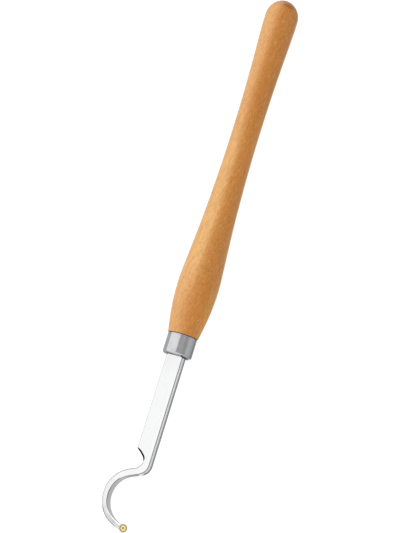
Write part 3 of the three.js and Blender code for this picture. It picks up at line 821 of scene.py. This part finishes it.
def walls():
    """Matched points of the left and right walls with their normals, from the notch's corner to the hook,
    and the direction seen from the hook's centre where the walls run about one centre."""
    left = catmull(NECK_LEFT, 14)
    arc = np.array([polar(HOOK_C, outer_r(a), a) for a in np.linspace(-88.5, 20, 180)])
    left = blur(resample(np.vstack([left, arc]), 0.2), 1.1, 0.2)
    left[:, 1] = np.maximum(left[:, 1], HOOK_C[1] - R_OUT)

    apart = HOOK_C - ELBOW_C
    bearing = math.degrees(math.atan2(apart[1], apart[0]))
    lean = math.degrees(math.acos((ELBOW_R + R_IN) / np.linalg.norm(apart)))
    leave = bearing + lean
    meet = leave - 180
    right = [np.array([x, H]) for x in np.linspace(100, 125.6, 120)]
    right += [polar(ELBOW_C, ELBOW_R, a) for a in np.linspace(90, leave, 60)]
    right += [polar(HOOK_C, R_IN, a) for a in np.linspace(meet, 20, 400)]
    right = blur(resample(np.array(right), 0.2), 0.7, 0.2)

    nl, nr = outward(left, 1), outward(right, -1)
    sl, sr = arclength(left), arclength(right)

    def place(poly, s, point):
        return s[np.argmin(np.linalg.norm(poly - np.asarray(point), axis=1))]

    angle_l = np.unwrap(np.arctan2(left[:, 1] - HOOK_C[1], left[:, 0] - HOOK_C[0]))
    angle_r = np.unwrap(np.arctan2(right[:, 1] - HOOK_C[1], right[:, 0] - HOOK_C[0]))
    from_l = np.searchsorted(left[:, 0], 133.0)
    from_r = np.searchsorted(right[:, 0], 139.0)

    def by_angle(deg):
        a = math.radians(deg)
        al = angle_l[from_l:] if angle_l[from_l] < 0 else angle_l[from_l:] - 2 * math.pi
        ar = angle_r[from_r:] if angle_r[from_r] < 0 else angle_r[from_r:] - 2 * math.pi
        return np.interp(a, al, sl[from_l:]), np.interp(a, ar, sr[from_r:])

    knots = [
        (0.0, place(right, sr, (NOTCH_CORNER[0] - 9.4, H))),
        (place(left, sl, (118.2, -0.8)), place(right, sr, (114.5, H))),
        (place(left, sl, (123.4, 1.85)), place(right, sr, polar(ELBOW_C, ELBOW_R, 80))),
        (place(left, sl, (128.7, -0.4)), place(right, sr, polar(ELBOW_C, ELBOW_R, 50))),
        (place(left, sl, (131.3, -4.1)), place(right, sr, polar(ELBOW_C, ELBOW_R, leave))),
        (place(left, sl, (133.5, -9.3)), place(right, sr, (138.0, -3.5))),
    ]
    knots += [by_angle(a) for a in (-150, -144, -138, -132, -126)]
    kl, kr = np.array(knots).T
    at_l = list(np.arange(0.0, by_angle(-126)[0], 0.55))
    pairs = [(a, b, None) for a, b in zip(at_l, monotone(kl, kr, at_l))]
    for deg in np.arange(-126, -12 + 1e-6, 1.2):
        a, b = by_angle(deg)
        pairs.append((a, b, deg))
    out = []
    for a, b, deg in pairs:
        read = lambda poly, s, at: np.array([np.interp(at, s, poly[:, 0]), np.interp(at, s, poly[:, 1])])
        out.append((read(left, sl, a), read(right, sr, b), read(nl, sl, a), read(nr, sr, b), deg))
    return out


TOP_U = (0.0, 0.03, 0.2, 0.4, 0.6, 0.8, 0.97, 1.0)
ROUND = tuple(math.radians(a) for a in (13, 26, 39, 51, 64, 77))
WALL_U = (0.0, 0.04, 0.5, 0.96, 1.0)


def section(left, right, nl, nr, top, al, bl, ar, br, low=EDGE, bottom=-H, at=None, low_right=None, flat_l=0.0, lean=0.0):
    """One ring of the bar, clockwise from the left end of the top face. Each rounding has its own width
    and drop. at(side, z, inset) overrides where a wall point lies; flat_l turns the top left rounding into a
    chamfer."""
    lr = low if low_right is None else low_right
    chord = right - left
    e = chord / max(np.linalg.norm(chord), 1e-9)
    cl, cr = max(0.35, abs(e @ nl)), max(0.35, abs(e @ nr))

    def point(side, z, inset):
        if at is not None:
            return np.append(at(side, z, inset), z)
        p = left + e * inset / cl if side < 0 else right - e * inset / cr
        if side > 0 and lean:
            p = p + nr * lean * (z - bottom) / (top - bottom)
        return np.append(p, z)

    ring = []

    def flat(p, q, us):
        for u in us:
            ring.append(p * (1 - u) + q * u)

    tl, tr = point(-1, top, al), point(1, top, ar)
    flat(tl, tr, TOP_U)
    for b in ROUND:
        ring.append(point(1, top - br * (1 - math.cos(b)), ar * (1 - math.sin(b))))
    flat(point(1, top - br, 0.0), point(1, bottom + lr, 0.0), WALL_U)
    if at is not None:  # a leaning wall is read at each height
        for k, u in enumerate(WALL_U):
            z = (top - br) * (1 - u) + (bottom + low) * u
            ring[len(ring) - len(WALL_U) + k] = point(1, z, 0.0)
    for b in ROUND:
        ring.append(point(1, bottom + lr * (1 - math.sin(b)), lr * (1 - math.cos(b))))
    flat(point(1, bottom, lr), point(-1, bottom, low), TOP_U)
    for b in ROUND[::-1]:
        ring.append(point(-1, bottom + low * (1 - math.sin(b)), low * (1 - math.cos(b))))
    flat(point(-1, bottom + low, 0.0), point(-1, top - bl, 0.0), WALL_U)
    if at is not None:
        for k, u in enumerate(WALL_U):
            z = (bottom + low) * (1 - u) + (top - bl) * u
            ring[len(ring) - len(WALL_U) + k] = point(-1, z, 0.0)
    for b in ROUND[::-1]:
        u = b / (math.pi / 2)
        drop = (1 - math.cos(b)) * (1 - flat_l) + u * flat_l
        inset = (1 - math.sin(b)) * (1 - flat_l) + (1 - u) * flat_l
        ring.append(point(-1, top - bl * drop, al * inset))
    return ring


def ramp_top(deg):
    return float(monotone([p[0] for p in RAMP], [p[1] for p in RAMP], [deg])[0])


def tip_section(f):
    """Sections of the round end below the cutter, from 12 degrees before it to its far side."""
    to = CUTTER - HOOK_C
    r0 = np.linalg.norm(to)
    er = to / r0
    et = np.array([-er[1], er[0]])
    deg0 = math.degrees(math.atan2(to[1], to[0]))

    def at(side, z, inset):
        rho = PAD_R - max(0.0, SEAT_Z - z) * PAD_RELIEF - inset
        if f <= 0.5:
            g = f / 0.5
            blend = g * g * (3 - 2 * g)
            a = math.radians(-12 * (1 - g) + deg0 * g)
            inner = (R_IN + inset) * (1 - blend) + (r0 - rho) * blend
            outer = (outer_r(math.degrees(a)) - inset) * (1 - blend) + (r0 + rho) * blend
            r = outer if side < 0 else inner
            return HOOK_C + r * np.array([math.cos(a), math.sin(a)])
        g = math.radians((f - 0.5) / 0.5 * 90)
        return CUTTER + rho * ((1 if side < 0 else -1) * math.cos(g) * er + math.sin(g) * et)

    low = EDGE * (1 - min(f / 0.5, 1.0)) + 0.35 * min(f / 0.5, 1.0)
    k = smoothstep(0.0, 0.25, f)
    al = 0.60 * (1 - k) + 0.12 * k
    ar = 0.18 * (1 - k) + 0.12 * k
    br = 0.4 * (1 - k) + 0.12 * k
    unit = np.array([0.0, 1.0])
    return section(at(-1, 0, 0), at(1, 0, 0), unit, unit, SEAT_Z, al, al, ar, br, low, -H, at)


def bar_piece():
    rings = []

    def add(ring):
        rings.append(ring)

    # straight bar, leaning over to the notch corner's mitre
    down = np.array([0.0, -1.0])
    up = np.array([0.0, 1.0])
    lean_back = 9.4
    for x, share in ((17.0, 0.0), (17.4, 0.0), (22.0, 0.0), (45.0, 0.0), (70.0, 0.25), (90.0, 0.6), (104.0, 0.9), (111.0, 0.99), (112.9, 1.0), (113.25, 1.0)):
        add(section(np.array([x, -H]), np.array([x - lean_back * share, H]), down, up, H, EDGE, EDGE, RIGHT_ROUND, RIGHT_DROP, low_right=LOW_RIGHT))

    for left, right, nl, nr, deg in matched:
        broad_l = EDGE + 0.35 * smoothstep(123.0, 126.0, left[0])
        al, bl, top, flat_l = broad_l, broad_l, H, 0.0
        if left[0] < 122.8:
            at_x = (113.3, 114.2, 116.0, 120.0, 121.5, 122.6)
            al = float(np.interp(left[0], at_x, (1.1, 1.80, 2.25, 2.15, 1.45, 1.1)))
            bl = float(np.interp(left[0], at_x, (1.1, 2.3, 3.0, 2.8, 1.7, 1.1)))
            flat_l = float(np.interp(left[0], (113.3, 114.0, 121.3, 122.8), (0.0, 1.0, 1.0, 0.0)))
        neck = smoothstep(122.0, 136.0, left[0])
        bearing = math.degrees(math.atan2(right[1] - HOOK_C[1], right[0] - HOOK_C[0]))
        lean = 0.0
        if right[0] > 136 and bearing < 0:
            ar = float(np.interp(bearing, *zip(*INNER_EDGE)))
            lean = float(np.interp(bearing, *zip(*INNER_LEAN)))
        else:
            ar = RIGHT_ROUND + 0.30 * smoothstep(0.15, 0.80, nr[0])
        br = RIGHT_DROP * (1 - neck) + 5.2 * neck
        if deg is not None:
            top = ramp_top(deg)
            broad = smoothstep(-112, -88, deg)
            k = smoothstep(-76, -60, deg)
            al = (EDGE + 0.35 + 0.35 * broad) * (1 - k) + 1.15 * k
            bl = (EDGE + 0.35 * (1 - broad)) * (1 - k) + 1.15 * k
            k2 = smoothstep(-74, -50, deg)
            br = 5.2 * (1 - k2) + 0.5 * k2
            k3 = smoothstep(-30, -12, deg)
            al = al * (1 - k3) + 0.60 * k3
            bl = bl * (1 - k3) + 0.60 * k3
            ar = ar * (1 - k3) + 0.18 * k3
            br = br * (1 - k3) + 0.4 * k3
        low_right = LOW_RIGHT * (1 - neck) + EDGE * neck
        add(section(left, right, nl, nr, top, al, bl, ar, br, low_right=low_right, flat_l=flat_l, lean=lean))
    for f in list(np.linspace(0.06, 0.5, 9)) + list(0.5 + 0.5 * np.linspace(0, 1, 15)[1:]):
        add(tip_section(f))

    n = len(rings[0])
    verts = np.array(rings).reshape(-1, 3)
    faces = grid_faces(len(rings), n)

    # square shoulder in the ferrule, then the round tang in the handle
    base = len(verts)
    ring0 = np.array(rings[0])
    direction = np.arctan2(ring0[:, 1], ring0[:, 2])
    more = []
    for x, r in ((17.0, TANG_R + 0.15), (16.8, TANG_R), (16.0, TANG_R), (-30.0, TANG_R), (TANG_END_X + 1.2, TANG_R), (TANG_END_X, TANG_R - 1.2), (TANG_END_X, 2.0)):
        more.append([(x, r * math.sin(a), r * math.cos(a)) for a in direction])
    verts = np.vstack([verts, np.array(more).reshape(-1, 3), [[TANG_END_X, 0.0, 0.0]]])
    previous = list(range(n))
    for i in range(len(more)):
        now = list(range(base + i * n, base + (i + 1) * n))
        for j in range(n):
            k = (j + 1) % n
            faces.append((previous[k], previous[j], now[j], now[k]))
        previous = now
    pole = len(verts) - 1
    for j in range(n):
        k = (j + 1) % n
        faces.append((previous[k], previous[j], pole))

    obj = make_object("steel_bar_and_hook", verts, faces, [bar_steel], merge=0.002)

    # blind tapped hole under the cutter
    hole = [(SEAT_Z + 1.0, 0.0), (SEAT_Z + 1.0, 1.95), (SEAT_Z + 0.0, 1.95), (SEAT_Z - 0.28, 1.62)]
    z = SEAT_Z - 0.4
    while z > -6.0:
        hole += [(z, 1.56), (z - 0.25, 1.76)]
        z -= 0.5
    hole += [(-6.2, 1.56), (-6.4, 0.0)]
    hv, hf = turned(hole[::-1], 48, "z", CUTTER)
    tool = make_object("hole_tool", hv, hf, [])
    cut = obj.modifiers.new("hole", "BOOLEAN")
    cut.operation, cut.solver, cut.object = "DIFFERENCE", "EXACT", tool
    bpy.context.view_layer.update()
    deps = bpy.context.evaluated_depsgraph_get()
    mesh = bpy.data.meshes.new_from_object(obj.evaluated_get(deps))
    obj.modifiers.clear()
    old, obj.data = obj.data, mesh
    mesh.name = "steel_bar_and_hook"
    bpy.data.meshes.remove(old)
    bpy.data.objects.remove(tool)
    mesh.polygons.foreach_set("use_smooth", np.ones(len(mesh.polygons), bool))
    mesh.set_sharp_from_angle(angle=math.radians(30))
    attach(obj, "tool")
    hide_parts("tool_bar")
    return obj


# ---------------------------------------------------------------------------------------------------
# cutter

CUTTER_R, CUTTER_T = 4.0, 2.4


def cutter_piece():
    base_r = CUTTER_R - CUTTER_T * math.tan(math.radians(20))
    points = [
        (-CUTTER_T, 2.0), (-CUTTER_T, base_r - 0.12), (-CUTTER_T + 0.06, base_r - 0.02), (-CUTTER_T + 0.2, base_r + 0.068),
        (-1.2, CUTTER_R - 1.2 * math.tan(math.radians(20))), (-0.22, CUTTER_R - 0.085), (-0.03, CUTTER_R - 0.004), (0.0, CUTTER_R - 0.02),
        (-0.002, 3.9), (-0.03, 3.55), (-0.03, 3.08), (-0.05, 3.0), (-0.1, 2.93),
        (-0.6, 2.37), (-1.1, 1.87), (-1.22, 1.8), (-2.1, 1.8), (-2.3, 1.83), (-CUTTER_T, 2.0),
    ]
    verts, faces = turned(points[:-1], 144, "z", CUTTER)
    n = 144
    last = (len(points) - 2) * n
    for j in range(n):
        k = (j + 1) % n
        faces.append((last + j, last + k, k, j))
    obj = make_object("carbide_cutter", verts, faces, [carbide], sharp=25)
    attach(obj, "cutter")
    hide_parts("cutter_insert")
    return obj


# ---------------------------------------------------------------------------------------------------
# screw

HEAD_R, SHANK_R, SCREW_LENGTH = 2.6, 1.5, 6.0
DRIVE_R, DRIVE_DEPTH = 1.25, 0.85
PITCH = 0.5


def screw_piece():
    """Countersunk head with a star recess, and a shank whose thread is a real helix."""
    n = 96
    verts, faces = [], []

    def add_ring(fr, fz):
        start = len(verts)
        for i in range(n):
            a = 2 * math.pi * i / n
            r, z = fr(a), fz(a)
            verts.append((CUTTER[0] + r * math.cos(a), CUTTER[1] + r * math.sin(a), z))
        return start

    def lobe(scale, grow=0.0):
        return lambda a: scale * DRIVE_R * (0.86 + 0.14 * math.cos(6 * a)) + grow

    def const(v):
        return lambda a: v

    starts = []
    for fr, z in (
        (const(0.3), -DRIVE_DEPTH - 0.03), (lobe(0.55), -DRIVE_DEPTH), (lobe(0.88), -DRIVE_DEPTH + 0.05),
        (lobe(0.955), -DRIVE_DEPTH + 0.16), (lobe(0.985), -0.3), (lobe(1.0), -0.06), (lobe(1.0, 0.025), -0.015),
        (lobe(1.0, 0.07), 0.0), (const(1.7), 0.0), (const(2.3), 0.0), (const(HEAD_R - 0.10), 0.0),
        (const(HEAD_R - 0.03), -0.03), (const(HEAD_R - 0.005), -0.09), (const(HEAD_R - 0.03), -0.15),
        (const(2.0), -0.66), (const(SHANK_R + 0.05), -1.10), (const(SHANK_R - 0.02), -1.18),
        (const(SHANK_R - 0.12), -1.30),
    ):
        starts.append(add_ring(fr, const(z)))

    # the thread as a height over (direction, height along the axis), read on fine level rings
    top, end = -1.30, -5.92
    steps = int((top - end) / 0.03)
    crest, root = SHANK_R - 0.005, SHANK_R - 0.30
    for j in range(1, steps + 1):
        z = top - (top - end) * j / steps

        def r_of(a, z=z):
            phase = (-z / PITCH + a / (2 * math.pi)) % 1.0
            saw = abs(2 * phase - 1)
            depth = min(max((saw - 0.10) / 0.74, 0.0), 1.0)
            thread = root + (crest - root) * depth
            lead = smoothstep(-1.35, -1.80, z)
            taper = max(0.0, -5.40 - z) * 0.85
            return min(thread * lead + (SHANK_R - 0.12) * (1 - lead), crest - taper)

        starts.append(add_ring(r_of, const(z)))
    starts.append(add_ring(const(0.95), const(-SCREW_LENGTH + 0.02)))
    starts.append(add_ring(const(0.85), const(-SCREW_LENGTH)))
    for a, b in zip(starts[:-1], starts[1:]):
        for j in range(n):
            k = (j + 1) % n
            faces.append((a + j, a + k, b + k, b + j))
    for start, z in ((starts[0], -DRIVE_DEPTH - 0.05), (starts[-1], -SCREW_LENGTH)):
        pole = len(verts)
        verts.append((CUTTER[0], CUTTER[1], z))
        for j in range(n):
            k = (j + 1) % n
            faces.append((start + j, start + k, pole) if start != starts[0] else (start + k, start + j, pole))
    obj = make_object("gold_screw", np.array(verts), faces, [gold], sharp=38)
    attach(obj, "screw")
    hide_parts("insert_screw")
    return obj


matched = walls()
handle_piece()
ferrule_piece()
bar_piece()
cutter_piece()
screw_piece()


# ---------------------------------------------------------------------------------------------------
# camera

TARGET = Vector((-0.13615, -0.004196, 0.00795))
TOWARDS = Vector((0.20107792, 0.25353273, 0.94619703)).normalized()
DISTANCE = 1.1132
along = (Vector((-1, 0, 0)) + TOWARDS * TOWARDS.x).normalized()  # the butt's direction in the picture
across = along.cross(TOWARDS)
right = (0.29704 * along + 0.95486 * across).normalized()
up = (0.95486 * along - 0.29704 * across).normalized()
camera_data = bpy.data.cameras.new("camera")
camera_data.sensor_width = 36.0
camera_data.sensor_fit = "AUTO"
camera_data.lens = 36.0 * 1150.0 / 533.0
camera_data.clip_start, camera_data.clip_end = 0.01, 60.0
camera = bpy.data.objects.new("camera", camera_data)
bpy.context.scene.collection.objects.link(camera)
place = Matrix((right, up, TOWARDS)).transposed().to_4x4()
place.translation = TARGET + TOWARDS * DISTANCE
camera.matrix_world = place
bpy.context.scene.camera = camera


# ---------------------------------------------------------------------------------------------------
# floor, backdrop and light


def stage_material(name, diffuse, glow):
    m = bpy.data.materials.new(name)
    m.use_nodes = True
    shader = m.node_tree.nodes["Principled BSDF"]
    shader.inputs["Base Color"].default_value = (diffuse, diffuse, diffuse, 1.0)
    shader.inputs["Roughness"].default_value = 1.0
    shader.inputs["Specular IOR Level"].default_value = 0.0
    shader.inputs["Emission Color"].default_value = (1.0, 1.0, 1.0, 1.0)
    shader.inputs["Emission Strength"].default_value = glow
    return m


def only_seen_by_camera(obj):
    obj.visible_diffuse = obj.visible_glossy = obj.visible_transmission = False
    obj.visible_volume_scatter = obj.visible_shadow = False


def surround():
    floor_z = float(cad_box[0].z) - 0.00003
    rings, n = [], 96
    for r in (0.05, 0.3, 1.0, 4.0, 9.0):
        rings.append([(r * math.cos(2 * math.pi * j / n), r * math.sin(2 * math.pi * j / n), floor_z) for j in range(n)])
    verts = [p for ring in rings for p in ring] + [(0.0, 0.0, floor_z)]
    faces = grid_faces(len(rings), n)
    faces += [(j, (j + 1) % n, len(verts) - 1) for j in range(n)]
    mesh = bpy.data.meshes.new("floor")
    mesh.from_pydata(verts, [], faces)
    floor = bpy.data.objects.new("floor", mesh)
    mesh.materials.append(stage_material("pale_floor", 0.26, 0.88))
    bpy.context.scene.collection.objects.link(floor)
    only_seen_by_camera(floor)

    rings = []
    for a in np.linspace(-2, 88, 24):
        r, z = 9.0 * math.cos(math.radians(a)), 9.0 * math.sin(math.radians(a))
        rings.append([(r * math.cos(2 * math.pi * j / n), r * math.sin(2 * math.pi * j / n), z) for j in range(n)])
    verts = [p for ring in rings for p in ring] + [(0.0, 0.0, 9.0)]
    faces = grid_faces(len(rings), n)
    last = (len(rings) - 1) * n
    faces += [(last + j, last + (j + 1) % n, len(verts) - 1) for j in range(n)]
    mesh = bpy.data.meshes.new("backdrop")
    mesh.from_pydata(verts, [], faces)
    dome = bpy.data.objects.new("backdrop", mesh)
    mesh.materials.append(stage_material("pale_backdrop", 0.0, 1.05))
    bpy.context.scene.collection.objects.link(dome)
    only_seen_by_camera(dome)


def card(name, verts, faces, level, cover=None):
    """A studio card that only mirrors see: it shapes the reflections in the steel. cover is its opacity at
    each point."""
    mesh = bpy.data.meshes.new(name)
    mesh.from_pydata([tuple(v) for v in row(verts)], [], faces)
    obj = bpy.data.objects.new(name, mesh)
    mesh.materials.append(stage_material(name, 0.0, level))
    if cover is not None:
        mesh.attributes.new("cover", "FLOAT", "POINT").data.foreach_set("value", cover)
        tree = mesh.materials[0].node_tree
        read = tree.nodes.new("ShaderNodeAttribute")
        read.attribute_name = "cover"
        tree.links.new(read.outputs["Fac"], tree.nodes["Principled BSDF"].inputs["Alpha"])
    bpy.context.scene.collection.objects.link(obj)
    obj.visible_camera = obj.visible_diffuse = obj.visible_transmission = False
    obj.visible_volume_scatter = obj.visible_shadow = False


def curtain(name, path, low, high, level, ends, hem):
    """An upright card along a path, clear at its ends and along its hem."""
    path = resample(np.array(path), 0.5)
    s = arclength(path)
    low, high = (np.interp(np.linspace(0, 1, len(path)), np.linspace(0, 1, len(v)), v) for v in (low, high))
    side = [smoothstep(0.0, ends[0], a) * smoothstep(0.0, ends[1], s[-1] - a) for a in s]
    verts, cover = [], []
    for share, full in ((0.0, 0.0), (0.33, 0.3), (0.67, 0.7), (1.0, 1.0)):
        verts += [(*p, z + hem * share) for p, z in zip(path, low)]
        cover += [full * c for c in side]
    verts += [(*p, z) for p, z in zip(path, high)]
    cover += side
    n = len(path)
    faces = [(k * n + i, k * n + i + 1, k * n + n + i + 1, k * n + n + i) for k in range(4) for i in range(n - 1)]
    card(name, verts, faces, level, cover)


def ribbon(path_a, path_b):
    verts = [tuple(p) for p in path_a] + [tuple(p) for p in path_b]
    n = len(path_a)
    return verts, [(i, i + 1, n + i + 1, n + i) for i in range(n - 1)]


def cards():
    # black card across the notch's mouth, and one along the outside of the ramp
    mouth = [p + n * 2.2 for p, _, n, _, deg in matched if deg is None and 113.2 <= p[0] <= 122.0]
    mouth.insert(0, mouth[0] - (mouth[3] - mouth[0]) * 1.6)
    curtain("card_notch", mouth, [0.5, 0.5], [8.6, 8.6], 0.03, (0.6, 0.8), 3.0)
    degs = np.arange(-66.0, -19.9, 2.0)
    lift = lambda a: 2.4 * math.exp(-(((a + 52.0) / 5.0) ** 2)) - 1.2 * smoothstep(-42.0, -34.0, a)
    top = [ramp_top(a) for a in degs]
    high = [z + 4.8 + lift(a) for z, a in zip(top, degs)]
    curtain("card_ramp", [polar(HOOK_C, 31.8, a) for a in degs], [z - 6.5 for z in top], high, 0.03, (3.0, 3.0), 3.0)
    # below the bar: its own shade close by, and the bright table beyond
    under, near, far = [], [], []
    z = -H - 0.35
    for x in np.arange(19.0, 100.0, 3.0):
        under.append((x, H - 1.0, z))
        near.append((x, H + 2.25, z))
        far.append((x, H + 6.0, z))
    for left, right, nl, nr, deg in matched[::3]:
        bearing = math.degrees(math.atan2(right[1] - HOOK_C[1], right[0] - HOOK_C[0]))
        if right[0] < 101 or -168 < bearing < 0:
            continue
        fade = smoothstep(0.82, 0.985, nr[0])
        under.append((*(right - nr * 1.0), z))
        near.append((*(right + nr * (2.25 - 2.9 * fade)), z))
        far.append((*(right + nr * 6.0), z))
    card("card_shade", *ribbon(under, near), 0.34)
    card("card_table", *ribbon(near, far), 1.02)


def studio_light():
    """A soft tent of light: a broad soft window high on the left, grey card to the right and below."""
    world = bpy.data.worlds.new("studio")
    bpy.context.scene.world = world
    world.use_nodes = True
    g = Graph(world.node_tree)
    out = g.node("ShaderNodeOutputWorld")
    sky = g.node("ShaderNodeBackground")
    g.link(sky.outputs[0], out.inputs["Surface"])
    where = g.node("ShaderNodeTexCoord")
    x, y, z = g.split(where.outputs["Generated"])
    # direction round the tool's long axis: 0 overhead, negative to the left, positive to the right
    round_axis = g.math("ARCTAN2", y, z)
    share = g.math("MULTIPLY_ADD", round_axis, 1 / (2 * math.pi), 0.5)
    ramp = g.node("ShaderNodeValToRGB")
    g.link(share, ramp.inputs[0])
    ramp.color_ramp.interpolation = "LINEAR"
    stops = [
        (-180, 0.69), (-170, 0.45), (-152, 0.45), (-140, 0.76), (-89, 0.76), (-84, 1.60), (-4, 1.60), (-1, 0.68),
        (20, 0.74), (34, 0.78), (44, 0.68), (56, 0.58), (66, 0.68), (76, 0.86), (90, 0.89), (107, 0.84), (118, 0.70),
        (132, 0.63), (141, 0.36), (154, 0.36), (160, 0.69),
    ]
    elements = ramp.color_ramp.elements
    while len(elements) > 1:
        elements.remove(elements[-1])
    for i, (deg, level) in enumerate(stops):
        e = elements[0] if i == 0 else elements.new((deg + 180) / 360)
        e.position = (deg + 180) / 360
        v = level / 2
        e.color = (v, v, v, 1.0)
    grey = g.node("ShaderNodeSeparateColor")
    g.link(ramp.outputs[0], grey.inputs[0])
    level = g.math("MULTIPLY", grey.outputs[0], 2.0)
    # a softer window to the front
    front = g.math("MULTIPLY", g.step(x, 0.30, 0.55), g.step(z, 0.10, 0.35))
    ahead = g.math("MULTIPLY", g.step(x, 0.03, 0.14), g.step(z, 0.50, 0.70))
    ahead = g.math("MULTIPLY", ahead, g.step(y, 0.40, 0.25))
    front = g.math("MAXIMUM", front, ahead)
    level = g.math("ADD", g.math("MULTIPLY", level, g.math("SUBTRACT", 1.0, front)), g.math("MULTIPLY", front, 1.5))
    g.link(level, sky.inputs["Strength"])
    sky.inputs["Color"].default_value = (1.0, 1.0, 1.0, 1.0)


surround()
cards()
studio_light()
bpy.context.scene.view_settings.view_transform = "Standard"
bpy.context.scene.view_settings.look = "None"
